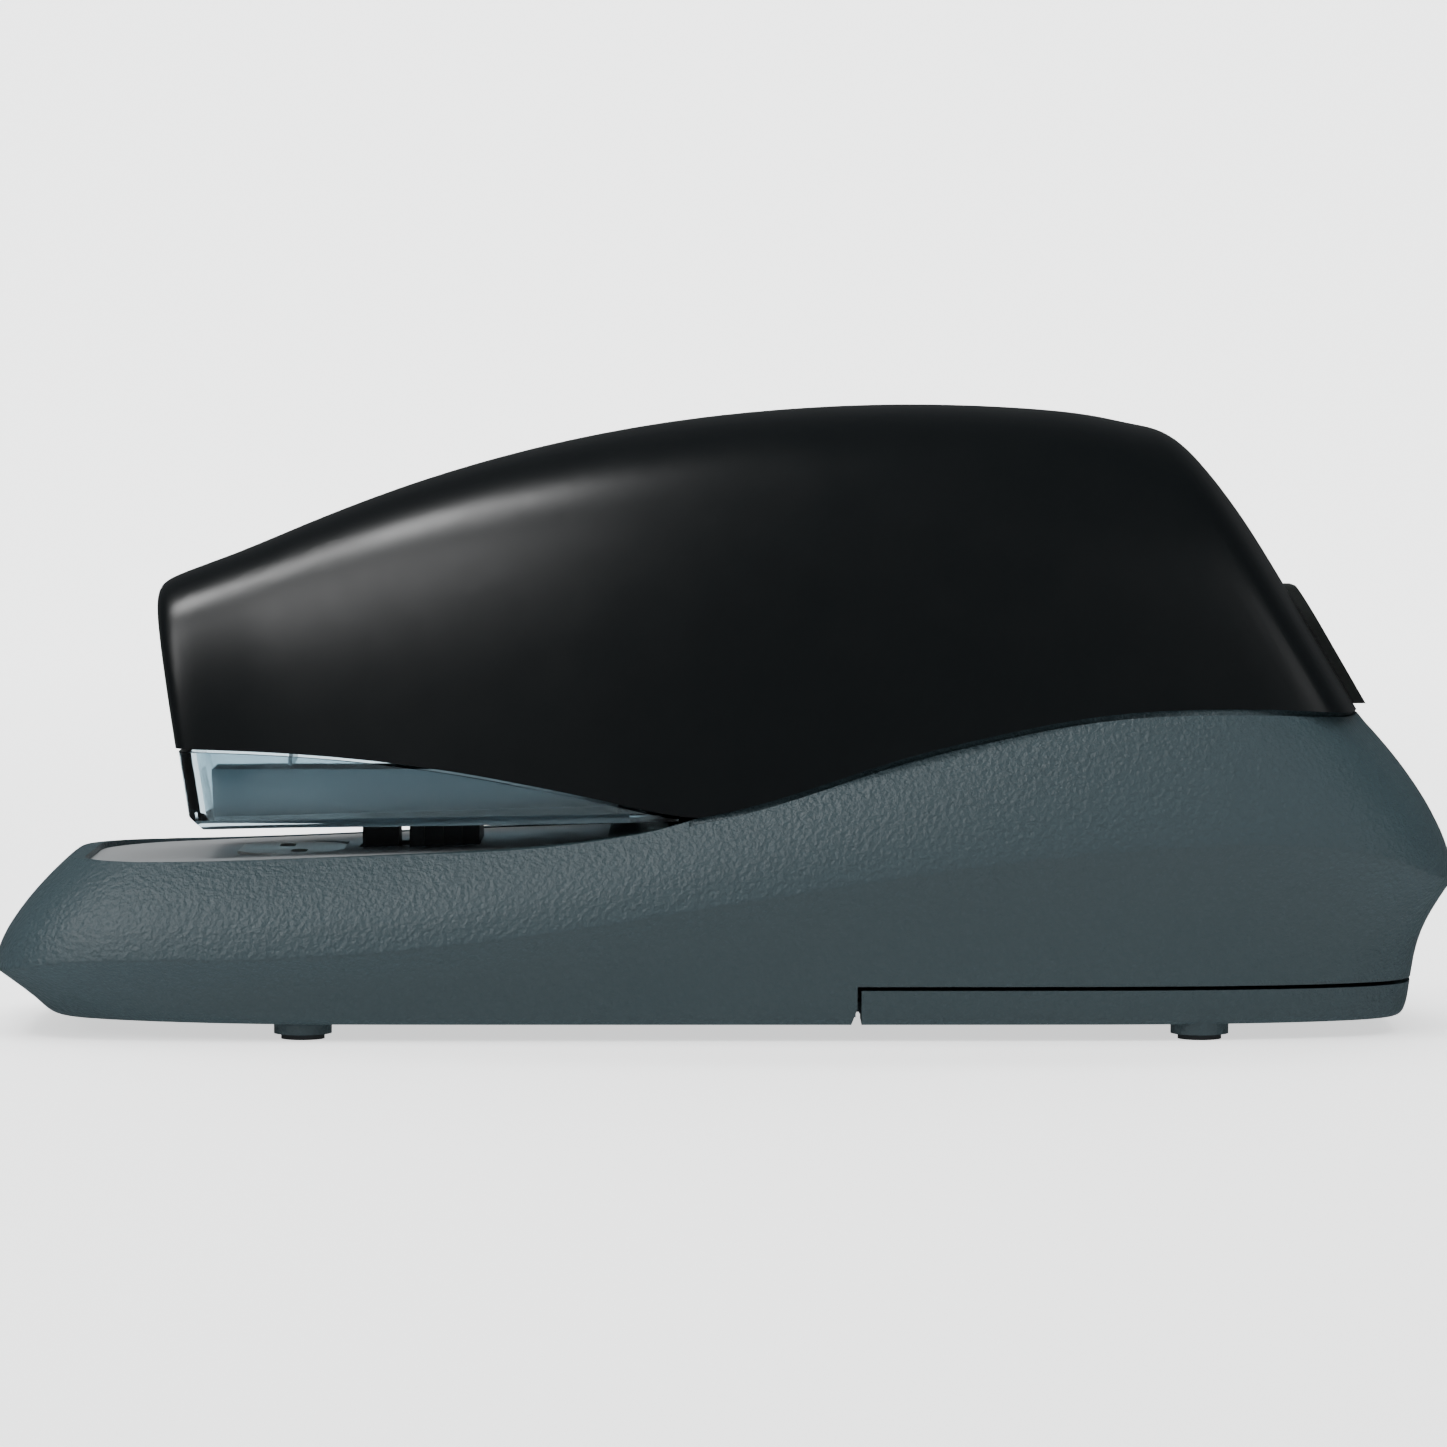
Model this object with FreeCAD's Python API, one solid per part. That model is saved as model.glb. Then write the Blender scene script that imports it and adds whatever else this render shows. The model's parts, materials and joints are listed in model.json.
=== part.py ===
import FreeCAD, Part
import math
import os

from FreeCAD import Vector as V

# Electric desktop stapler. X runs along the body with the nose at -X, Z is up,
# and the origin is the middle of the footprint, on the table. Millimetres.

# ---- overall shape -------------------------------------------------------
LENGTH = 216.3
WIDTH = 72.0
COVER_TOP = 92.6
FOOT_HEIGHT = 2.4
WALL = 2.2
COVER_WALL = 2.2
SEAM_GAP = 0.5
GROOVE = 0.8
GROOVE_DEEP = 0.7
BASE_POWER = 6
COVER_POWER = 3.6

# ---- deck, anvil and throat ---------------------------------------------
DECK_X0 = -94.6
DECK_X1 = -17.0
DECK_HALF = 24.5
DECK_THICK = 0.8
ROOF = 2.4
STAPLE_X = -64.5
ANVIL_LONG = 15.8
ANVIL_WIDE = 26.0
STOP_X0 = -46.7
STOP_X1 = -36.3
STOP_HALF = 9.0
TRIGGER_X0 = -53.9
TRIGGER_X1 = -48.5
TRIGGER_HALF = 5.0
TRIGGER_PIVOT_Z = 14.0

# ---- staples and drawer --------------------------------------------------
STAPLE_CROWN = 12.7
STAPLE_LEG = 6.0
STAPLE_WIRE = 0.5
STRIP_LENGTH = 30.0
FIT = 0.15
CHANNEL_SHEET = 0.8
CHANNEL_Z = 30.5
CHANNEL_X1 = -13.0
GUARD_WALL = 1.8
GUARD_Z0 = 29.9
GUARD_Z1 = 32.0
STROKE = 10.6
BLADE_Z = 38.8

# ---- power and drive -----------------------------------------------------
DOOR_Z = 7.5
CELL_LONG = 50.5
CELL_DIA = 14.2
CELL_PITCH = CELL_DIA + 0.2
CELL_X0 = 24.5
CELL_Z = DOOR_Z + CELL_DIA / 2
TRAY_TOP = CELL_Z + CELL_DIA / 2 + 2.1
CHASSIS_Z = 26.0
PLATE_IN = 11.0
GEARBOX_CLEAR = 0.05
PLATE = 1.2
CAM_X = 24.0
CAM_Z = 45.5
ARM_X = -18.0
ARM_Z = 55.0
ROLLER_R = 4.0
CAM_MIN = 7.0
MOTOR_R = 13.75
MOTOR_LONG = 31.0
GEAR_GAP = 0.6
PINION_TEETH = 12
PRESSURE = math.radians(20)

# ---- door, feet, button --------------------------------------------------
DOOR_X0 = 20.1
DOOR_GAP = 0.6
HINGE_R = 1.25
FOOT_X = (-61.6, 69.7)
FOOT_Y = 26.0
FOOT_R = 3.2
BUTTON_HALF = 11.0
BUTTON_Z0 = 48.3
BUTTON_Z1 = 65.6
BUTTON_DEEP = 6.0
ROD_Y = -16.0
ROD_Z = 57.0

HALF_L = LENGTH / 2
HALF_W = WIDTH / 2


# ---- small makers --------------------------------------------------------
def smooth(a, b, x):
    t = min(1.0, max(0.0, (x - a) / (b - a)))
    return t * t * (3 - 2 * t)


def box(x0, x1, y0, y1, z0, z1):
    return Part.makeBox(x1 - x0, y1 - y0, z1 - z0, V(x0, y0, z0))


def rod_y(x, z, r, y0, y1):
    return Part.makeCylinder(r, y1 - y0, V(x, y0, z), V(0, 1, 0))


def rod_x(y, z, r, x0, x1):
    return Part.makeCylinder(r, x1 - x0, V(x0, y, z), V(1, 0, 0))


def rod_z(x, y, r, z0, z1):
    return Part.makeCylinder(r, z1 - z0, V(x, y, z0), V(0, 0, 1))


def prism(points, y0, y1):
    """A side view outline, (x, z) points, pushed from y0 to y1."""
    corners = [V(x, y0, z) for x, z in points]
    wire = Part.makePolygon(corners + corners[:1])
    return Part.Face(wire).extrude(V(0, y1 - y0, 0))


def under_curves(lines, floor, half=80):
    """Everything between smooth side view curves, end to end, and a floor level."""
    edges = []
    for line in lines:
        curve = Part.BSplineCurve()
        curve.interpolate([V(x, -half, z) for x, z in line])
        edges.append(curve.toShape())
    (xa, za), (xb, zb) = lines[0][0], lines[-1][-1]
    far = 200
    ends = [V(xb, -half, zb), V(far, -half, zb), V(far, -half, floor)]
    ends += [V(-far, -half, floor), V(-far, -half, za), V(xa, -half, za)]
    wire = Part.Wire(edges + Part.makePolygon(ends).Edges)
    return Part.Face(wire).extrude(V(0, 2 * half, 0))


def slot_shape(xc, yc, long, wide, z0, z1, along="x"):
    """A round ended block: long along x or y."""
    r = wide / 2
    h = long / 2 - r
    dx, dy = (h, 0) if along == "x" else (0, h)
    core = box(xc - max(dx, r), xc + max(dx, r), yc - max(dy, r), yc + max(dy, r), z0, z1)
    if h <= 0:
        return rod_z(xc, yc, r, z0, z1)
    a = rod_z(xc - dx, yc - dy, r, z0, z1)
    b = rod_z(xc + dx, yc + dy, r, z0, z1)
    return a.fuse([b, core]).removeSplitter()


def joined(first, others):
    shape = first.fuse(others) if others else first
    return shape.removeSplitter()


def without(shape, tools):
    return shape.cut(tools) if tools else shape


def ring_directions(power, steps=10):
    """Unit superellipse directions, close together in the corners."""
    out = []
    for k in range(4 * steps):
        s = (k % steps) / steps
        turn = math.pi / 2 * (k // steps + s * s * s * (10 - 15 * s + 6 * s * s))
        pair = (math.cos(turn), math.sin(turn))
        out.append([math.copysign(max(abs(v), 1e-9) ** (2 / power), v) for v in pair])
    return out


def skin(rings, degree=3):
    """A closed smooth solid over control rings, flat at its first and last ring."""
    count = len(rings[0])
    rows = [[ring[k] for ring in rings] for k in range(count)]
    inner = len(rings) - degree - 1
    around = [1] * (count + 1)
    along = [degree + 1] + [1] * inner + [degree + 1]
    sheet = Part.BSplineSurface()
    sheet.buildFromPolesMultsKnots(
        rows, around, along, list(range(count + 1)), list(range(inner + 2)), True, False, 3, degree
    )
    caps = [Part.Face(Part.Wire([sheet.vIso(v).toShape()])) for v in (0, inner + 1)]
    shell = Part.makeShell([sheet.toShape()] + caps)
    shell.sewShape()
    solid = Part.makeSolid(shell)
    if solid.Volume < 0:
        solid.reverse()
    return solid


# ---- the base shell ------------------------------------------------------
def crease_z(x):
    """Height of the widest line of the base."""
    x = x * 108.15 / HALF_L
    z = 12.1 + 17.0 * smooth(-72, 78, x)
    z -= 2.3 * smooth(-92, -108, x)
    return z - 6.2 * smooth(90, 108.2, x)


def lean(x, c, h):
    """How far the upper band has drawn in, h above the crease."""
    side = 0.118 - 0.078 * smooth(-60, 90, x)
    end = 0.112 if c < 0 else 0.0735
    return (side + (end - side) * smooth(0.8, 1, abs(c))) * h ** 1.65


LOWER_BAND = (
    (0.0, 5.2, 10.2, 8.0),
    (0.0, 3.9, 8.2, 6.6),
    (0.3, 3.6, 6.4, 6.1),
    (0.65, 2.6, 3.2, 4.7),
    (1.0, 0.0, 0.0, 0.0),
    (1.0, 0.0, 0.0, 0.0),
)


def base_skin(inset=0.0):
    around = ring_directions(BASE_POWER)
    floor = FOOT_HEIGHT + inset
    rings = []
    for up, side, nose, tail in LOWER_BAND:
        ring = []
        for c, s in around:
            end = (nose if c < 0 else tail) - side
            draw = inset + side + end * smooth(0.6, 1, abs(c))
            z = floor + (crease_z(c * HALF_L) - floor) * up
            ring.append(V(c * (HALF_L - draw), s * (HALF_W - draw), z))
        rings.append(ring)
    for h in (3, 6, 10, 14, 18, 22, 26):
        ring = []
        for c, s in around:
            x = c * HALF_L
            draw = inset + lean(x, c, h)
            ring.append(V(c * (HALF_L - draw), s * (HALF_W - draw), crease_z(x) + h))
        rings.append(ring)
    rings.append([V(p.x * 0.93, p.y * 0.93, 66) for p in rings[-1]])
    return skin(rings)


# side view of the top of the base: deck, then the seam with the cover
SEAM = (
    (-3.5, 32.5), (11, 36.2), (25.6, 41), (40, 44.6), (54.7, 47.3), (69, 48.3), (84, 48.1), (92, 47.6),
)
DECK_EDGE = (
    (-112, 25.6), (-94, 25.7), (-78, 25.8), (-59, 26.4), (-45, 27.0), (-33, 27.6), (-24, 28.4), (-15, 29.7),
    (-9, 30.9), (-5.5, 31.9),
)
# underside of the cover where it hangs over the clear guard
COVER_EDGE = (
    (-95, 42.4), (-81, 41.9), (-62, 41.2), (-47.6, 40.0), (-36, 38.4), (-26, 36.6), (-17, 34.8), (-10, 33.3),
)


def deck_z(x):
    """Top of the metal deck."""
    return 24.9 + 0.042 * (x + 92)


def dropped(lines, drop):
    return [[(x, z - drop) for x, z in line] for line in lines]


def below_base_top(drop=0.0):
    return under_curves(dropped([DECK_EDGE + SEAM[:1], SEAM], drop), -20)


def make_base():
    outer = base_skin()
    inner = base_skin(WALL)
    solid = outer.common(below_base_top())
    under_roof = inner.common(below_base_top(ROOF + 0.4))
    under_roof = under_roof.common(box(-120, -8, -60, 60, -20, 80))
    behind = inner.common(box(-8 - 0.001, 120, -60, 60, -20, 80))
    shell = solid.cut(under_roof).cut(behind)
    front = box(-8 - WALL, -8, -31, 31, 4, 33)
    wall = inner.common(front).common(below_base_top(0.0))
    door_way = box(DOOR_X0 - DOOR_GAP, 120, -60, 60, -5, DOOR_Z + DOOR_GAP)
    groove = below_base_top().cut(below_base_top(GROOVE)).common(box(-5, 120, -60, 60, 0, 80))
    groove = groove.cut(base_skin(GROOVE_DEEP))
    shell = shell.fuse(wall).cut([door_way, groove])
    return shell, inner


def deck_outline(grow, z0, z1, x1=DECK_X1):
    """The deck's plan: round front corners, square at the back."""
    r = 12.0
    x0 = DECK_X0 - grow
    h = DECK_HALF + grow
    block = box(x0, x1 + grow, -h, h, z0, z1)
    full = [e for e in block.Edges if abs(e.BoundBox.ZLength - (z1 - z0)) < 1e-6]
    uprights = [e for e in full if e.BoundBox.XMax < x0 + 1]
    return block.makeFillet(r + grow, uprights)


def deck_slab(top_drop, thick):
    """A slab that follows the slope of the deck."""
    a, b = DECK_X0 - 6, DECK_X1 + 4
    za, zb = deck_z(a) - top_drop, deck_z(b) - top_drop
    return prism([(a, za), (b, zb), (b, zb - thick), (a, za - thick)], -60, 60)


# ---- the cover and the clear guard --------------------------------------
SPINE = (
    (-72.6, 70.3), (-63.6, 74.3), (-48.6, 80.2), (-33.6, 84.8), (-18.6, 88.3), (-3.6, 90.7), (11.4, 92.1),
    (26.4, 92.7), (41.4, 92.3), (54.0, 91.3),
)
FLARE_Z = 20.0
NOSE_LEAN = -0.16
TAIL_LEAN = -0.58


def cover_half(x):
    """Half width of the cover seen from above."""
    swell = 17.0 + 13.5 * math.sin(math.pi / 2 * smooth(-95, 38, x))
    return swell - 3.2 * smooth(35, 100, x)


def arch(x, lean_x, top, half, inset=0.0):
    ring = []
    for c, s in ring_directions(COVER_POWER):
        z = (top - inset - FLARE_Z) * s
        ring.append(V(x + lean_x * z, (half - inset) * c, FLARE_Z + z))
    return ring


def cover_skin(inset=0.0):
    rings = []
    nose_x = -77.6 + inset
    top = 65.6 * COVER_TOP / 92.6
    for step, draw in ((0.0, 4.5), (0.0, 2.2), (0.6, 0.6), (2.2, 0.0)):
        x = nose_x + step
        rings.append(arch(x, NOSE_LEAN, top + 0.55 * step, cover_half(x), inset + draw))
    for x, z in SPINE:
        t = smooth(-84, -52, x)
        u = smooth(-10, 62, x)
        tilt = NOSE_LEAN * (1 - t) + TAIL_LEAN * u
        top = z * COVER_TOP / 92.6
        foot = x - tilt * (top - FLARE_Z)
        rings.append(arch(foot, tilt, top, cover_half(min(x + 12 * u, 90)), inset))
    tail_x = 109.9 - inset
    top = 89.7 * COVER_TOP / 92.6
    crown = ((-9, 0.0), (-5.2, 0.6), (-3.0, 2.6), (-1.7, 6.0), (-0.6, 11.0), (0.0, 16.0), (0.0, 22.0))
    for step, draw in crown:
        rings.append(arch(tail_x + step, TAIL_LEAN, top, 28.6, inset + draw))
    return skin(rings)


def cover_bottom(drop=0.0):
    return under_curves(dropped([COVER_EDGE + SEAM[:1], SEAM], drop), -60)


def button_profile(grow=0.0, back=0.0, proud=1.8):
    """Side view of the button block: parallel to the slanted face."""
    def face_x(z):
        return 109.9 + TAIL_LEAN * (z - FLARE_Z)
    z0, z1 = BUTTON_Z0 - grow, BUTTON_Z1 + grow
    out = proud + grow
    deep = BUTTON_DEEP + grow
    rear = [(face_x(z) + out, z) for z in (z0, z1)]
    front = [(face_x(z) - deep - back, z) for z in (z1, z0)]
    return rear + front


def button_block(grow=0.0, back=0.0, proud=1.8):
    half = BUTTON_HALF + grow
    block = prism(button_profile(grow, back, proud), -half, half)
    tall = BUTTON_Z1 - BUTTON_Z0
    level = [e for e in block.Edges if e.BoundBox.YLength < 1e-6 and e.BoundBox.ZLength < 1e-6]
    longest = [e for e in level if e.BoundBox.ZMin > BUTTON_Z0 + tall / 2]
    return block.makeFillet(6.0 + grow, longest)


def make_cover(outer, inner):
    body = outer.cut(inner)
    body = body.cut(cover_bottom()).cut(below_base_top())
    body = body.cut(button_block(0.35, 6.0, 8.0))
    return body


def guard_line(x):
    """Bottom edge of the guard."""
    return GUARD_Z0 + (GUARD_Z1 - GUARD_Z0) * (x + 80) / 75


GUARD_X1 = -6.5


def make_guard():
    outer = cover_skin(0.35)
    inner = cover_skin(0.35 + GUARD_WALL)
    a, b = -100, GUARD_X1
    below = cover_bottom(SEAM_GAP).common(box(-120, b, -60, 60, -20, 80))
    above = prism([(a, guard_line(a)), (b, guard_line(b)), (b, 60), (a, 60)], -60, 60)
    body = outer.cut(inner).common(below).common(above)
    floor_block = prism(
        [(a, guard_line(a)), (b, guard_line(b)), (b, guard_line(b) + 1.2), (a, guard_line(a) + 1.2)], -60, 60
    )
    floor_plate = outer.common(floor_block).common(below)
    body = body.fuse(floor_plate)
    slot = channel_half() + FIT
    body = body.cut(box(-77.5, b + 1, -slot, slot, 20, 36))
    bevel = prism([(-90, 20), (-75.5, 29.0), (-80.5, 33.0), (-90, 33.0)], -60, 60)
    return body.cut(bevel).removeSplitter()


def channel_half():
    return STAPLE_CROWN / 2 + FIT + CHANNEL_SHEET


# ---- gears ---------------------------------------------------------------
def involute(a):
    return math.tan(a) - a


def turned(x, z, a):
    """Turn a side view point about +Y."""
    return x * math.cos(a) + z * math.sin(a), -x * math.sin(a) + z * math.cos(a)


def gear(teeth, module, shift, y0, y1, centre, phase, slack=0.06):
    """A spur gear solid; one tooth centre points along the phase angle."""
    pitch = module * teeth / 2
    base = pitch * math.cos(PRESSURE)
    tip = pitch + module * (1 + shift)
    root = pitch - module * (1.25 - shift)
    half = (math.pi / 2 + 2 * shift * math.tan(PRESSURE)) / teeth - slack / (2 * pitch)
    start = max(base, root)
    edges = []

    def at(r, a):
        return V(centre[0] + r * math.cos(a), y0, centre[1] + r * math.sin(a))

    def flank(r):
        return half + involute(PRESSURE) - involute(math.acos(min(1.0, base / r)))

    radii = [start + (tip - start) * k / 4 for k in range(5)]
    for k in range(teeth):
        mid = phase + 2 * math.pi * k / teeth
        rise = [at(r, mid - flank(r)) for r in radii]
        fall = [at(r, mid + flank(r)) for r in reversed(radii)]
        if start > root + 1e-6:
            rise.insert(0, at(root, mid - flank(start)))
            fall.append(at(root, mid + flank(start)))
        for line in (rise, fall):
            flat = start > root + 1e-6
            curve_points = line[1:] if flat and line is rise else line[:-1] if flat else line
            if flat and line is rise:
                edges.append(Part.LineSegment(line[0], line[1]).toShape())
            curve = Part.BSplineCurve()
            curve.interpolate(curve_points)
            edges.append(curve.toShape())
            if flat and line is fall:
                edges.append(Part.LineSegment(line[-2], line[-1]).toShape())
            if line is rise:
                edges.append(Part.Arc(rise[-1], at(tip, mid), fall[0]).toShape())
        step = 2 * math.pi / teeth
        gap_end = at(root, mid + step - flank(start))
        edges.append(Part.Arc(fall[-1], at(root, mid + step / 2), gap_end).toShape())
    wire = Part.Wire(edges)
    return Part.Face(wire).extrude(V(0, y1 - y0, 0))


STAGES = (
    (0.5, 44, -0.24, math.radians(-20)),
    (0.6, 42, -0.30, math.radians(-20)),
    (0.8, 40, -0.30, math.radians(8)),
)


def train():
    """Gear centres from the motor to the cam, worked back from the cam."""
    centres = [(CAM_X, CAM_Z)]
    for module, teeth, shift, angle in reversed(STAGES):
        reach = module * (teeth + PINION_TEETH) / 2
        x, z = centres[0]
        centres.insert(0, (x + reach * math.cos(angle), z + reach * math.sin(angle)))
    return centres


CENTRES = train()
LAYER = PLATE_IN + PLATE + GEAR_GAP
LAYERS = ((LAYER + 8.4, LAYER + 11.0), (LAYER + 4.8, LAYER + 7.8), (LAYER, LAYER + 4.2))
GEARBOX_Y = LAYER + 11.0 + GEAR_GAP
PIN_R = 1.5
SHAFT_CLEAR = 0.05


def pinion(stage, y0, y1):
    module, teeth, shift, angle = STAGES[stage]
    return gear(PINION_TEETH, module, -shift, y0, y1, CENTRES[stage], angle + math.pi)


def wheel(stage, y0, y1):
    module, teeth, shift, angle = STAGES[stage]
    step = math.pi / teeth
    return gear(teeth, module, shift, y0, y1, CENTRES[stage + 1], angle + step)


def make_train():
    parts = {}
    x, z = CENTRES[0]
    (c0, c1), (b0, b1), (a0, a1) = LAYERS
    shaft = rod_y(x, z, 1.0, PLATE_IN - 8, c1 + 0.3)
    parts["motor_pinion"] = joined(pinion(0, c0, c1), [shaft])
    for k, name, wide, thin in ((1, "gear_1", LAYERS[0], LAYERS[1]), (2, "gear_2", LAYERS[1], LAYERS[2])):
        x, z = CENTRES[k]
        disc = wheel(k - 1, wide[0], wide[1])
        small = pinion(k, thin[0] + 0.1, wide[0] + 0.01)
        bore = rod_y(x, z, PIN_R + SHAFT_CLEAR, 0, 40)
        parts[name] = joined(disc, [small]).cut(bore)
    x, z = CENTRES[3]
    disc = wheel(2, a0, a1)
    hub = rod_y(x, z, 5.0, a0 - 0.3, a1 + 2.0)
    shaft_r = 3.0
    shaft = rod_y(x, z, shaft_r, -PLATE_IN - PLATE - 1.5, a1 + 4.0)
    parts["cam_gear"] = joined(disc, [hub]).cut(rod_y(x, z, shaft_r, -30, 40))
    parts["cam_shaft"] = shaft
    return parts


# ---- the heart cam and the arm ------------------------------------------
BLOCK_HALF = 3.3
TIP_X = STAPLE_X + 0.3 + BLOCK_HALF
TIP_REACH = ARM_X - TIP_X
ARM_TURN = 2 * math.asin(STROKE / 2 / TIP_REACH)
ROLLER_X = CAM_X - 1.0
ROLLER_Z = CAM_Z + CAM_MIN + ROLLER_R
CAM_HALF = 3.0


def roller_at(share):
    """Roller centre, relative to the cam, when the cam has made share of its half turn."""
    dx, dz = ROLLER_X - ARM_X, ROLLER_Z - ARM_Z
    x, z = turned(dx, dz, -ARM_TURN * share)
    return ARM_X + x - CAM_X, ARM_Z + z - CAM_Z


def make_cam():
    reach = ROLLER_R + 0.15
    spots = []
    for k in range(91):
        share = k / 90
        x, z = roller_at(share)
        x, z = turned(x, z, -math.pi * share)
        spots.append((x, z))
    ax, az = spots[0]
    axis = math.atan2(az, ax)
    mirrored = []
    for x, z in spots:
        r, a = math.hypot(x, z), math.atan2(z, x)
        b = 2 * axis - a
        mirrored.append((r * math.cos(b), r * math.sin(b)))
    outline = []
    count = 72
    for k in range(count):
        a = axis + 2 * math.pi * k / count
        ux, uz = math.cos(a), math.sin(a)
        best = 99.0
        for x, z in spots + mirrored:
            off = abs(x * uz - z * ux)
            along = x * ux + z * uz
            if off < reach and along > 0:
                best = min(best, along - math.sqrt(reach * reach - off * off))
        outline.append(V(CAM_X + best * ux, -CAM_HALF, CAM_Z + best * uz))
    curve = Part.BSplineCurve()
    curve.interpolate(Points=outline, PeriodicFlag=True)
    face = Part.Face(Part.Wire([curve.toShape()]))
    heart = face.extrude(V(0, 2 * CAM_HALF, 0))
    collar = rod_y(CAM_X, CAM_Z, 5.0, -CAM_HALF - 3, CAM_HALF + 3)
    return joined(heart, [collar]).cut(rod_y(CAM_X, CAM_Z, 3.0, -30, 30))


def make_arm():
    parts = {}
    tip_z = ARM_Z + STROKE / 2
    cheeks = []
    for side in (-1, 1):
        y0, y1 = sorted((side * 3.6, side * 5.2))
        top = [
            (TIP_X - 2.5, tip_z - 2.2), (TIP_X - 2.5, tip_z + 2.2), (-40, 63.5), (ARM_X, ARM_Z + 9), (2, 64.0),
            (ROLLER_X + 4.5, ROLLER_Z + 4.6), (ROLLER_X + 5.5, ROLLER_Z), (ROLLER_X + 2.5, ROLLER_Z - 2.6),
            (8, ROLLER_Z - 2.0), (ARM_X, ARM_Z - 5), (-42, 55.5),
        ]
        cheeks.append(prism(top, y0, y1))
    web = box(-38, -30, -3.7, 3.7, 58.5, 60.3)
    body = joined(cheeks[0], [cheeks[1], web])
    body = body.cut(rod_y(ARM_X, ARM_Z, 2.5 + SHAFT_CLEAR, -10, 10))
    body = body.cut(rod_y(ROLLER_X, ROLLER_Z, 1.5, -10, 10))
    body = body.cut(rod_y(TIP_X, tip_z, 1.5, -10, 10))
    tip_pin = rod_y(TIP_X, tip_z, 1.5, -5.2, 5.2)
    axle = rod_y(ROLLER_X, ROLLER_Z, 1.5, -5.2, 5.2)
    roller = rod_y(ROLLER_X, ROLLER_Z, ROLLER_R, -3.4, 3.4).cut(rod_y(ROLLER_X, ROLLER_Z, 1.5, -5, 5))
    return {"drive_arm": body, "arm_pins": Part.makeCompound([tip_pin, axle]), "arm_roller": roller}


# ---- driver, chassis, guide ---------------------------------------------
BLADE_W = 12.4
BLADE_T = 0.6


def make_driver():
    tip_z = ARM_Z + STROKE / 2
    z0, z1 = 49.5, 66.0
    block = box(TIP_X - BLOCK_HALF, TIP_X + BLOCK_HALF, -3.3, 3.3, z0, z1)
    slot = box(TIP_X - 2.4, TIP_X + 2.4, -4, 4, tip_z - 1.5 - 0.08, tip_z + 1.5 + 0.08)
    block = block.cut(slot)
    back = TIP_X - BLOCK_HALF
    blade = box(back - BLADE_T, back, -BLADE_W / 2, BLADE_W / 2, BLADE_Z, z1)
    return {"driver_block": block, "driver_blade": blade}


BLADE_X = TIP_X - BLOCK_HALF - BLADE_T


def plate_outline():
    return [
        (-72, 43.2), (-72, 55), (-57, 68.6), (-30, 69.5), (-24, 66), (-10, 66), (-6, 77), (8, 77), (12, 70),
        (46, 68), (56, 61), (57, 42), (57, CHASSIS_Z), (14, CHASSIS_Z), (6, 38.2), (-16, 38.8), (-44, 43.2),
    ]


def make_chassis(cell_top):
    parts = {}
    for name, side in (("chassis_left", -1), ("chassis_right", 1)):
        y0, y1 = sorted((side * PLATE_IN, side * (PLATE_IN + PLATE)))
        plate = prism(plate_outline(), y0, y1)
        cuts = [rod_y(ARM_X, ARM_Z, 2.5, -20, 20), rod_y(CAM_X, CAM_Z, 3.0 + SHAFT_CLEAR, -20, 20)]
        cuts.append(rod_y(-2, 72, 1.5, -20, 20))
        for x, z in SPACERS:
            cuts.append(rod_y(x, z, 1.6, -20, 20))
        if side > 0:
            x, z = CENTRES[0]
            ear = rod_y(x, z, MOTOR_R, y0, y1)
            bridge = box(50, x, y0, y1, z - 9, z + 9)
            plate = joined(plate, [ear, bridge])
            cuts.append(rod_y(x, z, 3.2, 5, 20))
            cuts += [rod_y(cx, cz, PIN_R, 5, 20) for cx, cz in CENTRES[1:3]]
        foot_y = sorted((side * (PLATE_IN + PLATE), side * (PLATE_IN + PLATE + 6)))
        flange_x = (40, 56) if side < 0 else (16, 30)
        flange = box(*flange_x, *foot_y, CHASSIS_Z, CHASSIS_Z + PLATE)
        plate = joined(plate, [flange])
        parts[name] = without(plate, cuts)
    bars = []
    for x, z in SPACERS:
        middle = rod_y(x, z, 2.6, -PLATE_IN, PLATE_IN)
        ends = rod_y(x, z, 1.6, -PLATE_IN - PLATE, PLATE_IN + PLATE)
        bars.append(middle.fuse(ends).removeSplitter())
    parts["chassis_spacers"] = Part.makeCompound(bars)
    pivot = rod_y(ARM_X, ARM_Z, 2.5, -PLATE_IN - PLATE - 0.8, PLATE_IN + PLATE + 0.8)
    parts["arm_pivot_pin"] = pivot
    pins = [rod_y(x, z, PIN_R, PLATE_IN, GEARBOX_Y + 1.2) for x, z in CENTRES[1:3]]
    parts["gear_pins"] = Part.makeCompound(pins)
    return parts


SPACERS = ((-50, 66.4), (-4, 44.5), (50, 32.0), (46, 60))


def make_gearbox_plate():
    y0 = GEARBOX_Y
    outline = [(10, 36), (10, 52), (24, 58), (44, 56), (62, 50), (66, 44), (66, 36), (44, 35), (24, 33)]
    plate = prism(outline, y0, y0 + 1.2)
    legs = [rod_y(x, z, 2.0, PLATE_IN + PLATE, y0) for x, z in ((5.0, 62.0), (49.5, 63.0))]
    arms = [prism([(3, 59.5), (3, 64.5), (24, 58), (16, 50)], y0, y0 + 1.2)]
    arms.append(prism([(47, 65.5), (52, 65.5), (58, 50), (44, 50)], y0, y0 + 1.2))
    plate = joined(plate, arms + legs).common(cover_skin(COVER_WALL + GEARBOX_CLEAR))
    x, z = CENTRES[3]
    holes = [rod_y(x, z, 3.0 + SHAFT_CLEAR, 5, 40)]
    holes += [rod_y(cx, cz, PIN_R, y0 - 1, 40) for cx, cz in CENTRES[1:3]]
    x, z = CENTRES[0]
    return without(plate, holes)


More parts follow.
